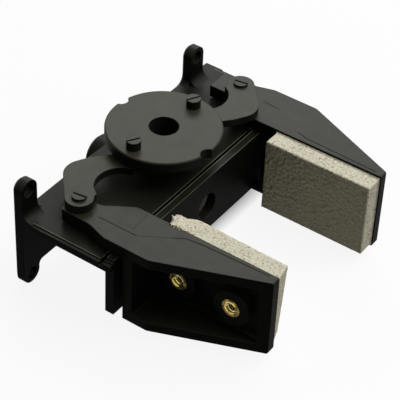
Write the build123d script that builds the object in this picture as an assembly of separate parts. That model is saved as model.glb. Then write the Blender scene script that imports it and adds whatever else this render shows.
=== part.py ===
from build123d import *
import os
from math import asin, cos, degrees, radians, sin, sqrt

# Two-jaw parallel gripper head with a crank disc, drawn fully open.
# Millimetres, +Z up. Origin on the crank axis at the underside of the deck.
# The jaws point to -Y and close along X, the wrist side faces +Y.

os.makedirs("parts", exist_ok=True)

# Frame: deck, rear flange and front wall
half_width = 48.5
deck_t = 2.8
flange_rear_y = 18.7
flange_t = 3.7
flange_front_y = flange_rear_y - flange_t
wall_front_y = -16.8
wall_t = 3.0
wall_rear_y = wall_front_y + wall_t
wall_inset = 2.0
wall_half_width = half_width - wall_inset
skirt_bottom_z = -17.7
side_step_w = 1.1
side_step_d = 0.4

# Guide groove and sliding lip along the front of the deck
groove_rear_y = -13.0
groove_front_y = -14.3
groove_d = 1.5
lip_h = 0.5
lip_half_width = wall_half_width

# Four ears of the flange, set out about the wrist hub
ear_w = 7.0
ear_step_right = 6.4
ear_xs = (-half_width + ear_w / 2, half_width - ear_step_right - ear_w / 2)
ear_top_z = 11.9
ear_low_z = -20.1
ear_hole_d = 4.2
ear_root_r = 3.4
ear_side_r = 2.4
ear_edge = 0.9

# Wrist hub and the round access hole in the front wall
hub_x = (ear_xs[0] + ear_xs[1]) / 2
hub_z = (ear_low_z + ear_top_z) / 2
hub_r = 6.4
hub_rear_y = 23.1
hub_bore_d = 8.0
access_d = 9.2
access_z = -7.9

# Seat posts for a standard servo under the deck
servo_pitch_x = 49.5
servo_pitch_y = 10.0
servo_mid_x = -9.8
post_d = 6.4
post_h = 8.0
pilot_d = 2.2

# Crank disc, its stepped hub and the splined drive socket
spigot_d = 11.0
spigot_gap = 0.05
disc_d = 35.8
disc_t = 3.4
hub_wide_d = 16.0
hub_neck_d = 10.6
disc_lift = 0.3
well_d = 9.2
well_floor_z = 5.6
socket_d = 5.9
socket_depth = 3.8
screw_d = 3.0
crank_inset = 4.2
crank_r = disc_d / 2 - crank_inset
crank_edge = 0.35

# Rim notches beside the pins
notch_r = 2.5
notch_place_r = disc_d / 2 + 0.6
notch_deg = 261.3

# Heights of the moving layers, each measured up from the deck
arm_gap = 0.8
arm_top = deck_t + 4.9
layer_gap = 0.3
link_t = 2.5
link_low = arm_top + layer_gap
link_top = link_low + link_t
head_gap = 0.1
head_h = 0.7
head_top = link_top + head_gap + head_h
disc_low = head_top + layer_gap
disc_top = disc_low + disc_t

# Linkage: jaw pivots sit off the centre line, on opposite sides
pivot_x = 37.0
pivot_y = 3.0
dead_centre = degrees(asin(pivot_y / sqrt(pivot_x ** 2 + pivot_y ** 2)))
crank_x = crank_r * cos(radians(dead_centre))
crank_y = crank_r * sin(radians(dead_centre))

# Links
link_end_r = 4.3
link_inner_r = 3.4
link_hook_r = 8.2
link_hook = (25.4, 3.6)
link_heel_x = 8.5
link_heel_y = 13.1
link_heel_r = 6.5
link_brow_x = 16.5
link_brow_y = 8.6
link_brow_r = 6.0
pin_d = 3.0
pin_gap = 0.05
head_d = 4.5
crank_pin_h = 2.9
slit_w = 0.6
slit_d = 0.45

# Jaws
jaw_rear_y = -18.3
jaw_tip_y = -60.3
jaw_low_z = -19.9
jaw_in_x = 27.7
jaw_out_x = 44.2
jaw_tip_x = 30.6
jaw_bend_y = -27.0
arm_in_x = 33.6
arm_out_x = 41.8
arm_rear_y = 6.2
arm_lean = 0.2
arm_out_y = jaw_rear_y + 13.8
arm_in_y = jaw_rear_y + 16.1
shoulder_out_y = jaw_rear_y + 6.9
shoulder_in_y = jaw_rear_y + 7.2
arm_rear_r = 1.0
shoulder_top_r = 7.0
shoulder_r = 3.0
shoulder_in_r = 5.0
arm_in_r = 4.0
pad_wall_t = 2.7
rim_t = 3.2
end_wall_t = 3.2
runner_w = 0.7
runner_drop = 1.2
runner_out_x = 45.2
runner_in_x = 26.6
foot_gap = 0.4
foot_reach_y = -14.8
foot_w = 3.2
boss_d = 11.8
boss_x = 33.3
boss_y = (-30.0, -48.4)
boss_z = -6.6
web_t = 1.2
web_h = 1.4

# Heat-set inserts, M4
insert_d = 6.0
insert_len = 5.0
insert_bore_d = 3.4
insert_x = boss_x - insert_len
insert_lead = 0.35
insert_floor = 0.6

# Foam pads
pad_t = 6.3
pad_rear_y = -22.9
pad_front_y = -59.9
pad_low_z = -19.5
pad_high_z = 7.0
pad_face_x = jaw_in_x - pad_t
torn_len = 11.5
torn_h = 7.5
worn_front = 2.2


def block(x0, x1, y0, y1, z0, z1):
    """Box between two opposite corners."""
    middle = Pos((x0 + x1) / 2, (y0 + y1) / 2, (z0 + z1) / 2)
    return middle * Box(abs(x1 - x0), abs(y1 - y0), abs(z1 - z0))


def post(x, y, radius, z0, z1):
    """Upright cylinder."""
    return Pos(x, y, (z0 + z1) / 2) * Cylinder(radius, abs(z1 - z0))


def rod_x(y, z, radius, x0, x1):
    """Cylinder lying along X."""
    return Pos((x0 + x1) / 2, y, z) * Rot(0, 90, 0) * Cylinder(radius, abs(x1 - x0))


def rod_y(x, z, radius, y0, y1):
    """Cylinder lying along Y."""
    return Pos(x, (y0 + y1) / 2, z) * Rot(90, 0, 0) * Cylinder(radius, abs(y1 - y0))


def near(shape, axis, value, tol=0.02):
    """Edges that lie in the plane axis = value."""
    return shape.edges().filter_by_position(axis, value - tol, value + tol)


def turned(shape):
    """The same shape after half a turn about the crank axis."""
    return Rot(0, 0, 180) * shape


def other_side(shape):
    """Mirror image across the middle plane of the gripper."""
    return mirror(shape, Plane.YZ)


def flange():
    """Rear flange with its four round-ended ears, drawn as one profile."""
    web_h_z = deck_t - skirt_bottom_z
    profile = Pos(0, deck_t - web_h_z / 2) * Rectangle(2 * half_width, web_h_z)
    ear_len = ear_top_z - ear_low_z + ear_w
    ear_mid_z = (ear_top_z + ear_low_z) / 2
    for x in ear_xs:
        profile += Pos(x, ear_mid_z) * SlotOverall(ear_len, ear_w, rotation=90)
    body = extrude(Plane.XZ.offset(-flange_rear_y) * profile, flange_t)
    root_xs = [x + shift for x in ear_xs for shift in (-ear_w / 2, ear_w / 2)]
    for z, radius in ((deck_t, ear_side_r), (skirt_bottom_z, ear_side_r * 0.7)):
        roots = [e for e in body.edges().filter_by(Axis.Y) if abs(e.center().Z - z) < 0.05]
        roots = [e for e in roots if min(abs(e.center().X - x) for x in root_xs) < 0.05]
        roots = [e for e in roots if abs(e.center().X) < half_width - 0.1]
        body = fillet(roots, radius)
    body = chamfer(near(body, Axis.Y, flange_rear_y), ear_edge)
    return body


def ear_root(x):
    """Concave fillet from the front of an upper ear to the deck."""
    x0 = x - ear_w / 2
    x1 = x + ear_w / 2
    y1 = flange_front_y
    y0 = y1 - ear_root_r
    z1 = deck_t + ear_root_r
    corner = block(x0, x1, y0, y1 + 0.5, deck_t - 0.5, z1)
    return corner - rod_x(y0, z1, ear_root_r, x0 - 1, x1 + 1)


def frame():
    """One moulding: deck, flange, ears, front wall, wrist hub and servo posts."""
    body = block(-half_width, half_width, wall_front_y, flange_front_y + 0.5, 0, deck_t)
    body += flange()
    lip_top = deck_t + lip_h
    body += block(-lip_half_width, lip_half_width, wall_front_y, groove_front_y, 1, lip_top)
    body += block(-wall_half_width, wall_half_width, wall_front_y, wall_rear_y, skirt_bottom_z, 1)
    body -= block(-half_width, half_width, groove_front_y, groove_rear_y, deck_t - groove_d, deck_t + 2)
    for side in (-1, 1):
        step_in = side * (half_width - side_step_w)
        step_out = side * (half_width + 1)
        step_z = deck_t - side_step_d
        body -= block(step_in, step_out, wall_front_y - 1, flange_front_y - 3.5, step_z, deck_t + 1)
    for x in ear_xs:
        body += ear_root(x)
        for hole_z in (ear_low_z, ear_top_z):
            body -= rod_y(x, hole_z, ear_hole_d / 2, flange_front_y - 1, flange_rear_y + 1)
    hub = rod_y(hub_x, hub_z, hub_r, flange_rear_y - 1, hub_rear_y)
    body += chamfer(near(hub, Axis.Y, hub_rear_y), ear_edge)
    body -= rod_y(hub_x, hub_z, hub_bore_d / 2, flange_front_y - 1, hub_rear_y + 1)
    body -= rod_y(0, access_z, access_d / 2, wall_front_y - 1, wall_rear_y + 1)
    for dx in (-1, 1):
        for dy in (-1, 1):
            x = servo_mid_x + dx * servo_pitch_x / 2
            y = dy * servo_pitch_y / 2
            body += post(x, y, post_d / 2, -post_h, 0.5)
            body -= post(x, y, pilot_d / 2, -post_h - 1, -0.8)
    body -= post(0, 0, spigot_d / 2 + spigot_gap, -1, deck_t + 1)
    return body


def jaw_outline():
    """Plan outline of the right jaw with its arm."""
    points = [
        (arm_in_x, arm_rear_y),
        (arm_out_x, arm_rear_y),
        (arm_out_x + arm_lean, arm_out_y),
        (jaw_out_x, shoulder_out_y),
        (jaw_out_x, jaw_bend_y),
        (jaw_tip_x, jaw_tip_y),
        (jaw_in_x, jaw_tip_y),
        (jaw_in_x, shoulder_in_y),
        (arm_in_x, arm_in_y),
    ]
    face = make_face(Polyline(*points, close=True))
    soft = {1: arm_rear_r, 2: shoulder_top_r, 3: shoulder_r, 4: shoulder_r, 7: shoulder_in_r, 8: arm_in_r}
    for index, radius in soft.items():
        x, y = points[index]
        corner = [v for v in face.vertices() if abs(v.X - x) + abs(v.Y - y) < 0.05]
        face = fillet(corner, radius)
    return face


def jaw():
    """Right jaw: arm, hollow finger with two insert bosses, runner and foot."""
    outline = jaw_outline()
    arm_low = deck_t + arm_gap
    body = extrude(Pos(0, 0, arm_low) * outline, arm_top - arm_low)
    tall = extrude(Pos(0, 0, jaw_low_z) * outline, arm_top - jaw_low_z)
    body += tall & block(0, jaw_out_x + 1, jaw_tip_y - 1, jaw_rear_y, jaw_low_z - 1, arm_top + 1)
    pocket_in = jaw_in_x + pad_wall_t
    pocket_rear = jaw_rear_y - end_wall_t
    pocket_tip = jaw_tip_y + end_wall_t
    pocket = block(pocket_in, jaw_out_x + 5, pocket_tip, pocket_rear, jaw_low_z + rim_t, arm_top - rim_t)
    pocket = fillet(pocket.edges().filter_by(Axis.X), 1.2)
    body -= pocket
    body = fillet(near(body, Axis.Y, jaw_tip_y).filter_by(Axis.X), 0.6)
    web_y0 = pocket_rear + 0.3
    web_y1 = pocket_tip - 0.3
    web = Polyline((web_y0, boss_z - 9.6), (web_y1, boss_z - 8.3))
    web_face = make_face(Plane.YZ.offset(pocket_in - 0.3) * trace(web, web_t))
    body += extrude(web_face, web_h + 0.3)
    for y in boss_y:
        body += rod_x(y, boss_z, boss_d / 2, pocket_in - 0.3, boss_x)
        body -= rod_x(y, boss_z, insert_d / 2, jaw_in_x - 1, boss_x + 1)
    runner_y = (groove_rear_y + groove_front_y) / 2
    runner_low = deck_t - runner_drop
    runner = block(runner_in_x, runner_out_x, runner_y - runner_w / 2, runner_y + runner_w / 2,
                   runner_low, arm_low + 0.5)
    body += runner
    foot_top = skirt_bottom_z - foot_gap
    body += block(jaw_in_x, jaw_in_x + foot_w, jaw_rear_y - 0.5, foot_reach_y, jaw_low_z, foot_top)
    return body


def finished_jaw(side):
    """Jaw of one side with its pin hole."""
    body = jaw() if side > 0 else other_side(jaw())
    body -= post(side * pivot_x, -side * pivot_y, pin_d / 2, 0, arm_top + 1)
    return body


def link():
    """Left link: a hooked plate whose bend clears the arm's rear end."""
    crank_dx = 0.62 * link_inner_r
    crank_dy = 0.78 * link_inner_r
    jaw_dx = 0.72 * link_end_r
    jaw_dy = 0.69 * link_end_r
    points = [
        (-pivot_x - jaw_dy, pivot_y + jaw_dx),
        (-pivot_x + link_heel_x, pivot_y + link_heel_y),
        (-pivot_x + link_brow_x, pivot_y + link_brow_y),
        (-crank_x + crank_dx, crank_y + crank_dy),
        (-crank_x - crank_dx, crank_y - crank_dy),
        (-pivot_x + jaw_dy, pivot_y - jaw_dx),
    ]
    face = make_face(Polyline(*points, close=True))
    for index, radius in ((1, link_heel_r), (2, link_brow_r)):
        x, y = points[index]
        corner = [v for v in face.vertices() if abs(v.X - x) + abs(v.Y - y) < 0.05]
        face = fillet(corner, radius)
    face -= Pos(-link_hook[0], -link_hook[1]) * Circle(link_hook_r)
    face += Pos(-pivot_x, pivot_y) * Circle(link_end_r)
    face += Pos(-crank_x, crank_y) * Circle(link_inner_r)
    face -= Pos(-pivot_x, pivot_y) * Circle(pin_d / 2 + pin_gap)
    face -= Pos(-crank_x, crank_y) * Circle(pin_d / 2 + pin_gap)
    body = extrude(Pos(0, 0, link_low) * face, link_t)
    return body


def crank_disc():
    """Disc on a stepped hub, turned in one profile, then bored and notched."""
    wide_top = arm_top - 0.2
    wide_low = deck_t + disc_lift
    profile = Polyline(
        (0, 0),
        (spigot_d / 2, 0),
        (spigot_d / 2, wide_low),
        (hub_wide_d / 2, wide_low),
        (hub_wide_d / 2, wide_top - 0.6),
        (hub_neck_d / 2, wide_top),
        (hub_neck_d / 2, disc_low),
        (disc_d / 2, disc_low),
        (disc_d / 2, disc_top),
        (0, disc_top),
        close=True,
    )
    body = revolve(Plane.XZ * make_face(profile), Axis.Z)
    body = chamfer(near(body, Axis.Z, disc_top), crank_edge)
    body -= post(0, 0, well_d / 2, well_floor_z, disc_top + 1)
    body -= post(0, 0, screw_d / 2, -1, disc_top)
    body -= post(0, 0, socket_d / 2, -1, socket_depth)
    for turn in (0, 180):
        bite = post(notch_place_r, 0, notch_r, disc_low - 1, disc_top + 1)
        body -= Rot(0, 0, notch_deg + turn) * bite
        body -= Rot(0, 0, turn) * post(-crank_x, crank_y, pin_d / 2, disc_low - 1, disc_top + 1)
    return body


def pin(x, y, z0, z_head, height, slit_deg):
    """Shouldered pin with a slit across its head."""
    body = post(x, y, pin_d / 2, z0, z_head + 0.5)
    head = post(x, y, head_d / 2, z_head, z_head + height)
    body += head
    cut = block(-head_d, head_d, -slit_w / 2, slit_w / 2, z_head + height - slit_d, z_head + height + 1)
    body -= Pos(x, y, 0) * Rot(0, 0, slit_deg) * cut
    return body


def jaw_pin(side, slit_deg):
    """Pin pressed into a jaw's arm, on which the link turns."""
    arm_low = deck_t + arm_gap
    return pin(side * pivot_x, -side * pivot_y, arm_low, link_top + head_gap, head_h, slit_deg)


def crank_pin(side, slit_deg):
    """Pin pressed into the crank disc."""
    return pin(side * crank_x, -side * crank_y, link_top + layer_gap, disc_top, crank_pin_h, slit_deg)


def insert(side, y):
    """Closed-end brass sleeve with a flared mouth."""
    bore = insert_bore_d / 2
    outer = insert_d / 2
    profile = Polyline(
        (insert_x, 0),
        (insert_x, outer),
        (boss_x, outer),
        (boss_x, bore + insert_lead),
        (boss_x - insert_lead, bore),
        (insert_x + insert_floor, bore),
        (insert_x + insert_floor, 0),
        close=True,
    )
    sleeve = Pos(0, y, boss_z) * revolve(make_face(profile), Axis.X)
    return sleeve if side > 0 else other_side(sleeve)


def pad(side):
    """Foam pad glued to the inner face of a jaw; the left one is torn at its rear end."""
    body = block(pad_face_x, jaw_in_x, pad_front_y, pad_rear_y, pad_low_z, pad_high_z)
    if side > 0:
        return body
    body = other_side(body)
    worn = Polyline(
        (-pad_face_x, pad_front_y + worn_front),
        (-jaw_in_x, pad_front_y),
        (-pad_face_x, pad_front_y),
        close=True,
    )
    body -= extrude(Pos(0, 0, pad_low_z - 1) * make_face(worn), pad_high_z - pad_low_z + 2)
    torn = Polyline(
        (-jaw_in_x, pad_rear_y + 0.2),
        (-pad_face_x - 3.2, pad_rear_y + 2.1),
        (-pad_face_x - 1.0, pad_rear_y + 2.3),
        (-pad_face_x - 0.2, pad_rear_y + 0.6),
        (-pad_face_x + 0.1, pad_rear_y - 2.2),
        (-pad_face_x + 1.1, pad_rear_y - 3.9),
        (-pad_face_x + 0.9, pad_rear_y - 8.0),
        (-pad_face_x, pad_rear_y - torn_len),
        (-jaw_in_x, pad_rear_y - torn_len),
        close=True,
    )
    body += extrude(Pos(0, 0, pad_high_z - torn_h) * make_face(torn), torn_h)
    return body


pieces = {
    "frame": frame(),
    "drive_disc": crank_disc(),
    "left_disc_pin": crank_pin(-1, -32),
    "right_disc_pin": crank_pin(1, -28),
    "left_link": link(),
    "right_link": turned(link()),
    "left_jaw_pin": jaw_pin(-1, -82),
    "right_jaw_pin": jaw_pin(1, -80),
    "left_jaw": finished_jaw(-1),
    "right_jaw": finished_jaw(1),
    "left_rear_insert": insert(-1, boss_y[0]),
    "left_front_insert": insert(-1, boss_y[1]),
    "right_rear_insert": insert(1, boss_y[0]),
    "right_front_insert": insert(1, boss_y[1]),
    "left_pad": pad(-1),
    "right_pad": pad(1),
}

for name, solid in pieces.items():
    export_step(solid, f"parts/{name}.step")
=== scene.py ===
import math

import bmesh
import bpy
from mathutils import Matrix, Vector, noise


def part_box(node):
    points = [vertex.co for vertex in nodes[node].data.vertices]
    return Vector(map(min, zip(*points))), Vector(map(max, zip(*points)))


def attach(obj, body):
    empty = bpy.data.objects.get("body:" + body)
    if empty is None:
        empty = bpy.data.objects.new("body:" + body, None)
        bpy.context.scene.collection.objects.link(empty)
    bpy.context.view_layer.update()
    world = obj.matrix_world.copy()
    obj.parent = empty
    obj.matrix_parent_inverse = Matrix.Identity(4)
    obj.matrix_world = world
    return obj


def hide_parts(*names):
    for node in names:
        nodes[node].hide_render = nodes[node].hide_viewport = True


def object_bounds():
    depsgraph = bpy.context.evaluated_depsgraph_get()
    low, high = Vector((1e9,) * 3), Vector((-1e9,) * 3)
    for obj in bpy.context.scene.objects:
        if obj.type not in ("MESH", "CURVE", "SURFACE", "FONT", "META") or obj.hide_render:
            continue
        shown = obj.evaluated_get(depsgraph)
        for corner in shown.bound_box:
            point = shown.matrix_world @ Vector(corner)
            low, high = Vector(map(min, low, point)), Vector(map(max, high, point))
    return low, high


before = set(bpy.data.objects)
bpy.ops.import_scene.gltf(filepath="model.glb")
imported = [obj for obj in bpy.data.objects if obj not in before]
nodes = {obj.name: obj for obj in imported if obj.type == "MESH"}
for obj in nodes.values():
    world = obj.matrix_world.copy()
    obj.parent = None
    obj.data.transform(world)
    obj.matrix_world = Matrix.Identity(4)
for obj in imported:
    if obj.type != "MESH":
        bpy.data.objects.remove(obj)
cad_low, cad_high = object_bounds()
MM = 0.001


# Shader nodes

def principled(name):
    """A new node material: its tree, its Principled node and a coordinate node."""
    mat = bpy.data.materials.new(name)
    mat.use_nodes = True
    tree = mat.node_tree
    shader = tree.nodes["Principled BSDF"]
    coord = tree.nodes.new("ShaderNodeTexCoord")
    return mat, tree, shader, coord


def noise_value(tree, coord, scale, detail=3.0, rough=0.5):
    """Noise texture in object space."""
    node = tree.nodes.new("ShaderNodeTexNoise")
    node.inputs["Scale"].default_value = scale
    node.inputs["Detail"].default_value = detail
    node.inputs["Roughness"].default_value = rough
    tree.links.new(coord.outputs["Object"], node.inputs["Vector"])
    return node.outputs["Fac"]


def ramp(tree, source, stops):
    """Colour ramp over a value."""
    node = tree.nodes.new("ShaderNodeValToRGB")
    while len(node.color_ramp.elements) < len(stops):
        node.color_ramp.elements.new(0.5)
    for element, (place, colour) in zip(node.color_ramp.elements, stops):
        element.position = place
        element.color = (*colour, 1)
    tree.links.new(source, node.inputs["Fac"])
    return node.outputs["Color"]


def map_range(tree, source, start=0.0, end=1.0, low=0.0, high=1.0):
    """Map start..end of a value to low..high."""
    node = tree.nodes.new("ShaderNodeMapRange")
    node.inputs["From Min"].default_value = start
    node.inputs["From Max"].default_value = end
    node.inputs["To Min"].default_value = low
    node.inputs["To Max"].default_value = high
    tree.links.new(source, node.inputs["Value"])
    return node.outputs["Result"]


def math_value(tree, operation, *values):
    """Result of a math node; each value is a number or a socket."""
    node = tree.nodes.new("ShaderNodeMath")
    node.operation = operation
    for socket, value in zip(node.inputs, values):
        if isinstance(value, (int, float)):
            socket.default_value = value
        else:
            tree.links.new(value, socket)
    return node.outputs["Value"]


def component(tree, vector, axis):
    """One component of a vector socket."""
    node = tree.nodes.new("ShaderNodeSeparateXYZ")
    tree.links.new(vector, node.inputs["Vector"])
    return node.outputs[axis]


def blend(tree, share, first, second):
    """Colour that goes from a socket's to a fixed one as the share goes from 0 to 1."""
    node = tree.nodes.new("ShaderNodeMix")
    node.data_type = "RGBA"
    # A Mix node lists its sockets for every data type: 6, 7 and output 2 are those for colours.
    node.inputs[7].default_value = (*second, 1)
    tree.links.new(share, node.inputs[0])
    tree.links.new(first, node.inputs[6])
    return node.outputs[2]


def mix_shaders(tree, share, first, second):
    """Shader that goes from the first to the second as the share goes from 0 to 1."""
    node = tree.nodes.new("ShaderNodeMixShader")
    tree.links.new(share, node.inputs["Fac"])
    tree.links.new(first, node.inputs[1])
    tree.links.new(second, node.inputs[2])
    return node.outputs["Shader"]


def bumps(tree, height, strength, distance, under=None):
    """Normal of a bump node, laid over another normal where one is given."""
    node = tree.nodes.new("ShaderNodeBump")
    node.inputs["Strength"].default_value = strength
    node.inputs["Distance"].default_value = distance
    tree.links.new(height, node.inputs["Height"])
    if under is not None:
        tree.links.new(under, node.inputs["Normal"])
    return node.outputs["Normal"]


# Materials

# Faces turned up from TOP_START to TOP_FULL are painted lighter by the factors on the next line and
# reflect more: a painted sheen on the tops. The sides keep a weak reflection: painted shade that
# keeps them dark.
TOP_START, TOP_FULL = 0.3, 0.95
PAINTED_TOP_SHEEN = (2.3, 2.3, 1.7)
SIDE_SHINE = 0.012
# Rounded edges go lighter towards this colour: partly wear, partly painted highlight.
EDGE_WEAR_AND_GLINT_COLOUR = (0.045, 0.045, 0.038)
EDGE_WEAR_AND_GLINT_SHARE = 0.55
GLOSS_SPREAD = 0.07


def plastic(name, colour, rough, bevel, shine=0.16):
    """Moulded black plastic: sides given weak reflection to keep them dark (painted shade), tops
    painted lighter (painted sheen), rounded edges lighter (partly wear, partly painted highlight).
    """
    mat, tree, shader, coord = principled(name)
    dark = tuple(c * 0.8 for c in colour)
    light = tuple(c * 1.25 for c in colour)
    painted_top_colour = tuple(c * more for c, more in zip(colour, PAINTED_TOP_SHEEN))
    flow = noise_value(tree, coord, 90.0, 4.0)
    tint = ramp(tree, flow, [(0.3, dark), (0.7, light)])
    facing = tree.nodes.new("ShaderNodeNewGeometry").outputs["Normal"]
    # Faces turned up take the lighter colour: painted sheen on the tops.
    up = map_range(tree, component(tree, facing, "Z"), TOP_START, TOP_FULL)
    tint_with_painted_top = blend(tree, up, tint, painted_top_colour)

    edge = tree.nodes.new("ShaderNodeBevel")
    edge.samples = 6
    edge.inputs["Radius"].default_value = bevel
    rounded = edge.outputs["Normal"]
    turn = tree.nodes.new("ShaderNodeVectorMath")
    turn.operation = "DOT_PRODUCT"
    tree.links.new(rounded, turn.inputs[0])
    tree.links.new(facing, turn.inputs[1])
    # Lighter where the rounded normal turns off the face: partly edge wear, partly painted highlight.
    edge_wear_and_glint = map_range(tree, turn.outputs["Value"], 0.99, 0.8, high=EDGE_WEAR_AND_GLINT_SHARE)
    tree.links.new(blend(tree, edge_wear_and_glint, tint_with_painted_top, EDGE_WEAR_AND_GLINT_COLOUR), shader.inputs["Base Color"])

    # Weak reflection on the sides and more on the tops: painted shade on the sides, painted sheen on
    # the tops.
    level = map_range(tree, up, low=SIDE_SHINE, high=shine)
    tree.links.new(level, shader.inputs["Specular IOR Level"])
    sheen = noise_value(tree, coord, 260.0, 5.0, 0.6)
    gloss = map_range(tree, sheen, low=rough - GLOSS_SPREAD, high=rough + GLOSS_SPREAD)
    tree.links.new(gloss, shader.inputs["Roughness"])
    grain = noise_value(tree, coord, 1500.0, 4.0, 0.65)
    tree.links.new(bumps(tree, grain, 0.3, 0.12 * MM, rounded), shader.inputs["Normal"])
    return mat


def brass(name, dark, light, rough):
    """Turned brass with fine tool marks and a little tarnish, faces turned up painted lighter as a
    painted highlight.
    """
    mat, tree, shader, coord = principled(name)
    shader.inputs["Metallic"].default_value = 1.0
    shader.inputs["Roughness"].default_value = rough
    stain = noise_value(tree, coord, 700.0, 4.0)
    facing = tree.nodes.new("ShaderNodeNewGeometry").outputs["Normal"]
    # Faces turned up are pushed towards the lighter colour (a painted highlight) on top of the
    # tarnish noise.
    top_light_and_tarnish = math_value(tree, "MULTIPLY_ADD", component(tree, facing, "Z"), 0.35, stain)
    tint = ramp(tree, top_light_and_tarnish, [(0.4, dark), (0.7, light)])
    tree.links.new(tint, shader.inputs["Base Color"])
    wave = tree.nodes.new("ShaderNodeTexWave")
    wave.wave_type = "RINGS"
    wave.rings_direction = "X"
    wave.inputs["Scale"].default_value = 900.0
    tree.links.new(coord.outputs["Object"], wave.inputs["Vector"])
    marks = bumps(tree, wave.outputs["Fac"], 0.12, 0.03 * MM)
    tree.links.new(marks, shader.inputs["Normal"])
    return mat


def foam(name, pit, wall, cell, depth, rough, shine):
    """Cream foam: pale cell walls, olive pits, faint blotches, a bumpy surface."""
    mat, tree, shader, coord = principled(name)
    shader.inputs["Roughness"].default_value = rough
    shader.inputs["Specular IOR Level"].default_value = shine
    cells = tree.nodes.new("ShaderNodeTexVoronoi")
    cells.feature = "F1"
    cells.inputs["Scale"].default_value = cell
    tree.links.new(coord.outputs["Object"], cells.inputs["Vector"])
    speck = noise_value(tree, coord, 1300.0, 3.0, 0.65)
    blotch = noise_value(tree, coord, 170.0, 4.0, 0.6)
    specks = math_value(tree, "MULTIPLY", speck, 0.78)
    both = math_value(tree, "MULTIPLY_ADD", blotch, 0.22, specks)
    dull_wall = tuple(c * 0.79 for c in wall)
    tint = ramp(tree, both, [(0.35, pit), (0.43, dull_wall), (0.56, wall)])
    tree.links.new(tint, shader.inputs["Base Color"])
    coarse = bumps(tree, cells.outputs["Distance"], 0.6, depth)
    fine = bumps(tree, speck, 0.5, 0.25 * MM, coarse)
    tree.links.new(fine, shader.inputs["Normal"])
    return mat


# Three copies of one black plastic: the frame's darker (painted shade on the deck), the linkage's
# lighter (painted light), the jaws' between.
shaded_frame_black = plastic("frame_plastic", (0.0042, 0.0042, 0.0036), 0.46, 0.35 * MM, 0.11)
moving_black = plastic("moving_plastic", (0.008, 0.008, 0.0068), 0.43, 0.3 * MM)
lit_linkage_black = plastic("linkage_plastic_lit", (0.0145, 0.0143, 0.012), 0.43, 0.3 * MM)
# Near-black strips for the scored lines: painted shade of their grooves.
score_groove_shade = plastic("score_line_shade", (0.002, 0.002, 0.002), 0.7, 0.1 * MM)
# Copies of one brass at different brightness: the insert's face darker (painted shade), the lip
# lighter, the thread's lit flank bright (painted highlight) and its other flank near black (painted
# shade).
shaded_insert_brass = brass("shaded_insert_brass", (0.07, 0.05, 0.014), (0.34, 0.25, 0.065), 0.34)
lip_brass = brass("lip_brass", (0.10, 0.07, 0.02), (0.80, 0.62, 0.18), 0.24)
lit_flank_brass = brass("lit_flank_brass", (0.20, 0.15, 0.04), (0.98, 0.86, 0.34), 0.3)
shaded_flank_brass = brass("shaded_flank_brass", (0.010, 0.007, 0.004), (0.03, 0.02, 0.008), 0.6)
pad_foam = foam("pad_foam", (0.20, 0.17, 0.08), (0.76, 0.72, 0.56), 1500.0, 0.22 * MM, 0.95, 0.1)
# The gripping face's skin: bumpier and glossier than the cut foam, and darker, which is painted
# shade.
pad_skin_shaded = foam("pad_skin_shaded", (0.28, 0.25, 0.15), (0.50, 0.465, 0.32), 850.0, 0.9 * MM, 0.45, 0.3)
pad_stain = foam("pad_stain", (0.12, 0.10, 0.03), (0.42, 0.37, 0.17), 1500.0, 0.22 * MM, 0.95, 0.1)
# Lighter plastic for thin strips along the frame's edges: painted highlights.
edge_shine = plastic("edge_shine", (0.075, 0.075, 0.065), 0.35, 0.1 * MM)


# Solids of the frame and new pieces

def shade_smooth(mesh, sharp_degrees):
    """Smooth shading, with the edges sharper than an angle kept."""
    for face in mesh.polygons:
        face.use_smooth = True
    mesh.set_sharp_from_angle(angle=math.radians(sharp_degrees))


def dress(node, material):
    """Give a carried-over node its material and smooth its round faces."""
    mesh = nodes[node].data
    mesh.materials.clear()
    mesh.materials.append(material)
    shade_smooth(mesh, 28)


dress("frame", shaded_frame_black)
for name in nodes:
    if name.endswith("insert"):
        dress(name, shaded_insert_brass)
    elif name.endswith("jaw"):
        dress(name, moving_black)
    elif name != "frame" and not name.endswith("pad"):
        dress(name, lit_linkage_black)


def add_mesh(name, verts, faces, material, body):
    """A new piece from points and faces, riding on a body."""
    mesh = bpy.data.meshes.new(name)
    mesh.from_pydata(verts, [], faces)
    mesh.update()
    mesh.materials.append(material)
    piece = bpy.data.objects.new(name, mesh)
    bpy.context.scene.collection.objects.link(piece)
    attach(piece, body)
    return piece


def bands(width, rows, closed=False):
    """Faces between neighbouring rows of points, each row width points wide."""
    faces = []
    for row in range(rows if closed else rows - 1):
        first, second = width * row, width * ((row + 1) % rows)
        faces += [(first + n, first + n + 1, second + n + 1, second + n) for n in range(width - 1)]
    return faces


# Foam pads

def smooth_step(value, start, end):
    """0 before start, 1 after end, smooth between."""
    t = min(max((value - start) / (end - start), 0.0), 1.0)
    return t * t * (3 - 2 * t)


def along(value, stops):
    """Straight interpolation in a list of (place, height)."""
    for (p, h), (q, k) in zip(stops, stops[1:]):
        if value <= q:
            return h + (k - h) * (value - p) / (q - p)
    return stops[-1][1]


PAD_COUNTS = (14, 78, 56)
PAD_GLUED_X, PAD_FACE_X = 27.7 * MM, 21.4 * MM
PAD_REAR_Y, PAD_FRONT_Y = -22.9 * MM, -59.9 * MM

# The near pad's tear in mm. Over its thickness: how far the end reaches back and stands up.
# Over its length from the rear: how far the free face bulges.
TORN_BACK = ((0, 0.2), (0.3, 1.0), (0.52, 2.2), (0.72, 1.7), (0.84, 2.4), (1, 0.7))
TORN_UP = ((0, 0.3), (0.3, 0.6), (0.5, 1.2), (0.66, 0.1), (1, 0))
TORN_OUT = ((0, -0.3), (0.05, -0.4), (0.10, 0.7), (0.13, 1.1), (0.2, 1.25), (0.30, 1.05), (1, 0.55))


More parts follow.
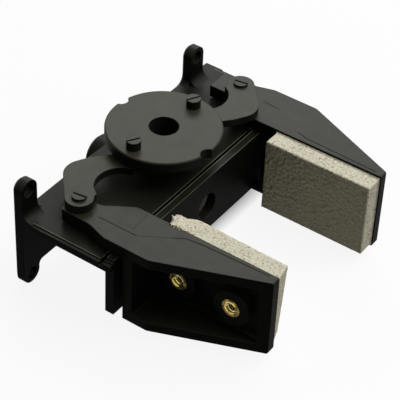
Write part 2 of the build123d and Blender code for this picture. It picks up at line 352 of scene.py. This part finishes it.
def tear(x, y, z, across, length, height):
    """Move a point of the near pad by its shares of the thickness, the length and the height."""
    upper = smooth_step(height, 0.66, 0.82)
    rear_end = 1 - smooth_step(length, 0, 0.05)
    rag = noise.noise(Vector((x * 900, -3.1, z * 500)))
    y += upper * rear_end * along(across, TORN_BACK) * MM
    y += rear_end * rag * 0.7 * MM
    z += rear_end * smooth_step(height, 0.85, 1) * along(across, TORN_UP) * MM
    leaning = smooth_step(length, 0.3, 0.6)
    bulge = upper * (1 - leaning) + height * leaning
    x += bulge * smooth_step(across, 0.3, 1.0) * along(length, TORN_OUT) * MM
    y += smooth_step(length, 0.9, 1.0) * across * (2.1 - 1.2 * height) * MM
    return x, y, z


def skin_depth(point, on_edge):
    """How far a point of a pad's surface sinks in, deeper along the edges."""
    rough = 0.5 + 0.5 * noise.noise(point * 1500)
    rough += 0.6 * abs(noise.noise(point * 420))
    depth = 0.08 + 0.13 * rough
    if on_edge:
        depth += 0.24 + 0.18 * abs(noise.noise(point * 700))
    return depth * MM


def pad_piece(side, node):
    """Foam block on a lattice, its edges softened and its skin roughened."""
    name = node + "_foam"
    low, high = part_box(node)
    bottom, top = low[2], high[2]
    glued_x, face_x = side * PAD_GLUED_X, side * PAD_FACE_X
    lattice = {}
    verts = []

    def place(i, j, k):
        """Index of a lattice point, which is made at its first use."""
        if (i, j, k) in lattice:
            return lattice[i, j, k]
        across, length, height = (n / most for n, most in zip((i, j, k), PAD_COUNTS))
        x = glued_x + (face_x - glued_x) * across
        y = PAD_REAR_Y + (PAD_FRONT_Y - PAD_REAR_Y) * length
        z = bottom + (top - bottom) * height
        if side < 0:
            x, y, z = tear(x, y, z, across, length, height)
        point = Vector((x, y, z))
        if i != 0:
            ends = [(n == 0) - (n == most) for n, most in zip((i, j, k), PAD_COUNTS)]
            inward = Vector((-side * ends[0], -ends[1], ends[2]))
            on_edge = sum(1 for end in ends if end) > 1
            point += inward.normalized() * skin_depth(point, on_edge)
        lattice[i, j, k] = len(verts)
        verts.append(point)
        return lattice[i, j, k]

    faces = []
    for axis in range(3):
        u, v = [n for n in range(3) if n != axis]
        for level in (0, PAD_COUNTS[axis]):
            for p in range(PAD_COUNTS[u]):
                for q in range(PAD_COUNTS[v]):
                    ring = []
                    for du, dv in ((0, 0), (1, 0), (1, 1), (0, 1)):
                        index = [0, 0, 0]
                        index[axis] = level
                        index[u] = p + du
                        index[v] = q + dv
                        ring.append(place(*index))
                    faces.append(ring)
    piece = add_mesh(name, verts, faces, pad_foam, "left_finger" if side < 0 else "right_finger")
    shape = bmesh.new()
    shape.from_mesh(piece.data)
    bmesh.ops.recalc_face_normals(shape, faces=shape.faces)
    shape.to_mesh(piece.data)
    shape.free()
    # Faces on the gripping side take the darker skin: a real skin whose darkness is painted shade.
    piece.data.materials.append(pad_skin_shaded)
    for face in piece.data.polygons:
        if face.normal.x * side < -0.85 and abs(face.center.x) < PAD_FACE_X + 1.1 * MM:
            face.material_index = 1
    shade_smooth(piece.data, 55)
    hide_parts(node)


pad_piece(-1, "left_pad")
pad_piece(1, "right_pad")

RIBBON_STEPS = 40
RIBBON_REAR_Y, RIBBON_FRONT_Y = -22.7, -31.8


def torn_ribbon(name, material, inner, outer, ragged):
    """Ragged strip along the torn end; inner and outer are (x, z) in mm, narrowing to the front."""
    verts = []
    for n in range(RIBBON_STEPS + 1):
        t = n / RIBBON_STEPS
        y = RIBBON_REAR_Y + (RIBBON_FRONT_Y - RIBBON_REAR_Y) * t
        narrow = 1 - t ** 3
        rag = ragged * noise.noise(Vector((y * 1.3, 7.7, 0.3)))
        x = inner[0] + (outer[0] - inner[0] + rag) * narrow
        z = inner[1] + (outer[1] - inner[1] + 0.5 * rag) * narrow
        verts += [(inner[0] * MM, y * MM, inner[1] * MM), (x * MM, y * MM, z * MM)]
    add_mesh(name, verts, bands(2, RIBBON_STEPS + 1), material, "left_finger")


torn_ribbon("left_pad_flap", pad_foam, (-27.2, 7.04), (-28.25, 7.95), 0.9)
torn_ribbon("left_pad_stain", pad_stain, (-27.2, 7.04), (-26.5, 7.05), 0.8)


# Threads inside the brass inserts and raised lips round their mouths

THREAD_INSET, THREAD_PITCH, THREAD_TURNS = 0.4, 0.7, 5
TURN_STEPS, LIP_STEPS = 28, 40

# Both profiles are (radius, place along the axis) in mm.
THREAD_PROFILE = ((1.68, 0.22), (1.38, 0.08), (1.38, -0.08), (1.68, -0.22), (1.68, -0.48))
LIP_PROFILE = ((1.71, 0.02), (1.96, 0.16), (2.04, 0.16), (2.28, 0.02))


def thread(node, body):
    """Helical ridge on the wall of an insert's bore and a lip round its mouth."""
    low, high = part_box(node)
    side = 1 if low[0] + high[0] > 0 else -1
    mouth = max(abs(low[0]), abs(high[0]))
    axis_y, axis_z = (low[1] + high[1]) / 2, (low[2] + high[2]) / 2

    def profile(stops, angle, depth):
        """Points of a profile at an angle round the bore, a depth in mm inside the mouth."""
        points = []
        for radius, place in stops:
            points.append((
                side * (mouth + (place - depth) * MM),
                axis_y + radius * MM * math.cos(angle),
                axis_z + radius * MM * math.sin(angle),
            ))
        return points

    verts = []
    for s in range(THREAD_TURNS * TURN_STEPS + 1):
        turns = s / TURN_STEPS
        verts += profile(THREAD_PROFILE, 2 * math.pi * turns, THREAD_INSET + THREAD_PITCH * turns)
    faces = bands(len(THREAD_PROFILE), THREAD_TURNS * TURN_STEPS + 1)
    piece = add_mesh(node + "_thread", verts, faces, lit_flank_brass, body)
    piece.data.materials.append(shaded_flank_brass)
    # One flank and the crest take the bright brass, the other flank and the root the near-black one:
    # painted light and shade.
    for face in piece.data.polygons:
        face.material_index = 0 if face.index % 4 < 2 else 1
    verts = []
    for s in range(LIP_STEPS):
        verts += profile(LIP_PROFILE, 2 * math.pi * s / LIP_STEPS, 0)
    faces = bands(len(LIP_PROFILE), LIP_STEPS, closed=True)
    add_mesh(node + "_lip", verts, faces, lip_brass, body)


for side_name in ("left", "right"):
    for place_name in ("rear", "front"):
        thread(f"{side_name}_{place_name}_insert", side_name + "_finger")


# Dark strips for the scored lines on the jaws (painted shade of their grooves) and light strips along
# the frame's edges (painted highlights)

STRIP_LIFT = 0.02 * MM
DECK_TOP, LIP_TOP = 2.8 * MM, 3.3 * MM
DECK_EDGE_X, GROOVE_END_X = 47.3, 46.3


def strip(name, body, material, z, points, width):
    """Mitred strip a hair above a top face; its points and width are in mm."""
    verts = []
    for n, (x, y) in enumerate(points):
        before = points[max(n - 1, 0)]
        after = points[min(n + 1, len(points) - 1)]
        course = Vector((after[0] - before[0], after[1] - before[1])).normalized()
        across = Vector((-course.y, course.x)) * width / 2
        verts.append(((x + across.x) * MM, (y + across.y) * MM, z + STRIP_LIFT))
        verts.append(((x - across.x) * MM, (y - across.y) * MM, z + STRIP_LIFT))
    add_mesh(name, verts, bands(2, len(points)), material, body)


def scored(name, body, points, width):
    """Dark strip on a jaw's top where a scored line runs: painted shade of its groove."""
    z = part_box(body.replace("finger", "jaw"))[1][2]
    strip(name, body, score_groove_shade, z, points, width)


left_front = [(-32.4, -26.9), (-30.2, -30.2), (-29.5, -36.2), (-28.7, -57.6)]
right_front = [(30.6, -28.8), (29.6, -32.4), (28.9, -57.6)]
scored("left_score", "left_finger", [(-37.9, -4.8), (-37.8, -18.2)], 0.34)
scored("left_score_bend", "left_finger", [(-37.8, -18.2), (-32.4, -26.9)], 0.12)
scored("left_score_front", "left_finger", left_front, 0.4)
scored("left_score_cross", "left_finger", [(-36.3, -15.7), (-28.7, -15.4)], 0.09)
scored("right_score_rear", "right_finger", [(37.0, -11.6), (36.7, -17.9)], 0.28)
scored("right_score_front", "right_finger", right_front, 0.4)

# Light strips along the groove's edges and the deck's side edges: painted highlights.
for name, y, z, width in (
    ("groove_rear_edge", -12.9, DECK_TOP, 0.18),
    ("groove_front_edge", -14.4, LIP_TOP, 0.2),
    ("lip_front_edge", -16.7, LIP_TOP, 0.1),
):
    points = [(-GROOVE_END_X, y), (GROOVE_END_X, y)]
    strip(name, "base", edge_shine, z, points, width)
for name, x in (("left_deck_edge", -DECK_EDGE_X), ("right_deck_edge", DECK_EDGE_X)):
    strip(name, "base", edge_shine, DECK_TOP, [(x, 14.0), (x, -12.8)], 0.16)


# Floor, background, lamps and camera

FLOOR_REACH = 3
FLOOR_GAP = 0.2 * MM

# Middle and half width along X and Y of the patch under the deck where the floor's glow is left off
# so it shows dark: painted shadow.
PATCH_X = (6 * MM, 34 * MM)
PATCH_Y = (-3 * MM, 15 * MM)


def seen(tree):
    """1 for rays of the camera, of reflections and through glass."""
    path = tree.nodes.new("ShaderNodeLightPath").outputs
    both = math_value(tree, "MAXIMUM", path["Is Camera Ray"], path["Is Glossy Ray"])
    return math_value(tree, "MAXIMUM", both, path["Is Transmission Ray"])


def outside(tree, coord, axis, middle, half):
    """Distance from the middle of a patch of floor along one axis, 1 at its rim."""
    shift = math_value(tree, "SUBTRACT", component(tree, coord.outputs["Object"], axis), middle)
    return math_value(tree, "DIVIDE", math_value(tree, "ABSOLUTE", shift), half)


def floor():
    """White floor that keeps a soft shadow; its glow is left off over a placed patch under the deck
    (painted shadow over the floor's own shading), and it is dim to diffuse light.
    """
    mat, tree, shader, coord = principled("floor_pale")
    shader.inputs["Base Color"].default_value = (0.9, 0.9, 0.9, 1)
    shader.inputs["Roughness"].default_value = 0.9
    glow = tree.nodes.new("ShaderNodeEmission")
    glow.inputs["Strength"].default_value = 1.0
    grey = tree.nodes.new("ShaderNodeBsdfDiffuse")
    grey.inputs["Color"].default_value = (0.22, 0.22, 0.22, 1)
    rim = math_value(
        tree, "MAXIMUM", outside(tree, coord, "X", *PATCH_X), outside(tree, coord, "Y", *PATCH_Y))
    # The glow is left off inside the patch, so the floor shows dark under the deck there: painted
    # shadow over the floor's own shading.
    share = map_range(tree, rim, 0.5, 1.0, high=0.9)
    white = mix_shaders(tree, share, shader.outputs["BSDF"], glow.outputs["Emission"])
    surface = mix_shaders(tree, seen(tree), grey.outputs["BSDF"], white)
    tree.links.new(surface, tree.nodes["Material Output"].inputs["Surface"])
    mesh = bpy.data.meshes.new("floor")
    z = cad_low[2] - FLOOR_GAP
    corners = [(x * FLOOR_REACH, y * FLOOR_REACH, z) for x, y in ((-1, -1), (1, -1), (1, 1), (-1, 1))]
    mesh.from_pydata(corners, [], [(0, 1, 2, 3)])
    mesh.materials.append(mat)
    piece = bpy.data.objects.new("floor", mesh)
    bpy.context.scene.collection.objects.link(piece)


def background(level):
    """White to the eye and in reflections, dim for lighting."""
    world = bpy.data.worlds.new("studio")
    bpy.context.scene.world = world
    world.use_nodes = True
    tree = world.node_tree
    tree.nodes.clear()
    out = tree.nodes.new("ShaderNodeOutputWorld")
    lights = []
    for strength in (level, 1.0):
        light = tree.nodes.new("ShaderNodeBackground")
        light.inputs["Color"].default_value = (1, 1, 1, 1)
        light.inputs["Strength"].default_value = strength
        lights.append(light.outputs["Background"])
    tree.links.new(mix_shaders(tree, seen(tree), *lights), out.inputs["Surface"])


LAMP_AIM = (0, -0.02, 0)


def lamp(name, place, width, watts):
    """Square soft lamp turned to the part."""
    data = bpy.data.lights.new(name, "AREA")
    data.shape = "RECTANGLE"
    data.size = width
    data.size_y = width
    data.energy = watts
    item = bpy.data.objects.new(name, data)
    bpy.context.scene.collection.objects.link(item)
    item.location = place
    item.rotation_mode = "QUATERNION"
    item.rotation_quaternion = (Vector(LAMP_AIM) - Vector(place)).to_track_quat("-Z", "Y")


def camera(azimuth, height, roll, lens, target, distance):
    """Camera turned to the left of the front, raised and rolled, angles in degrees."""
    azimuth, height, roll = (math.radians(v) for v in (azimuth, height, roll))
    level = math.cos(height)
    back = Vector((math.sin(azimuth) * level, -math.cos(azimuth) * level, math.sin(height)))
    right = (-back).cross(Vector((0, 0, 1))).normalized()
    up = right.cross(-back)
    right_rolled = right * math.cos(roll) + up * math.sin(roll)
    up_rolled = up * math.cos(roll) - right * math.sin(roll)
    data = bpy.data.cameras.new("camera")
    data.sensor_width = 36.0
    data.lens = lens
    data.clip_start = 0.01
    data.clip_end = 20
    item = bpy.data.objects.new("camera", data)
    bpy.context.scene.collection.objects.link(item)
    turn = Matrix((right_rolled, up_rolled, back)).transposed().to_4x4()
    item.matrix_world = Matrix.Translation(Vector(target) * MM + back * distance) @ turn
    bpy.context.scene.camera = item


floor()
background(0.07)
lamp("main", (0.35, -0.42, 0.82), 0.9, 8.4)
lamp("back", (0.64, 0.42, 0.66), 0.5, 3.4)
camera(-56.59, 40.49, 2.87, lens=151.46, target=(-9.22, -20.34, 2.8), distance=0.49779)
bpy.context.scene.view_settings.view_transform = "Standard"
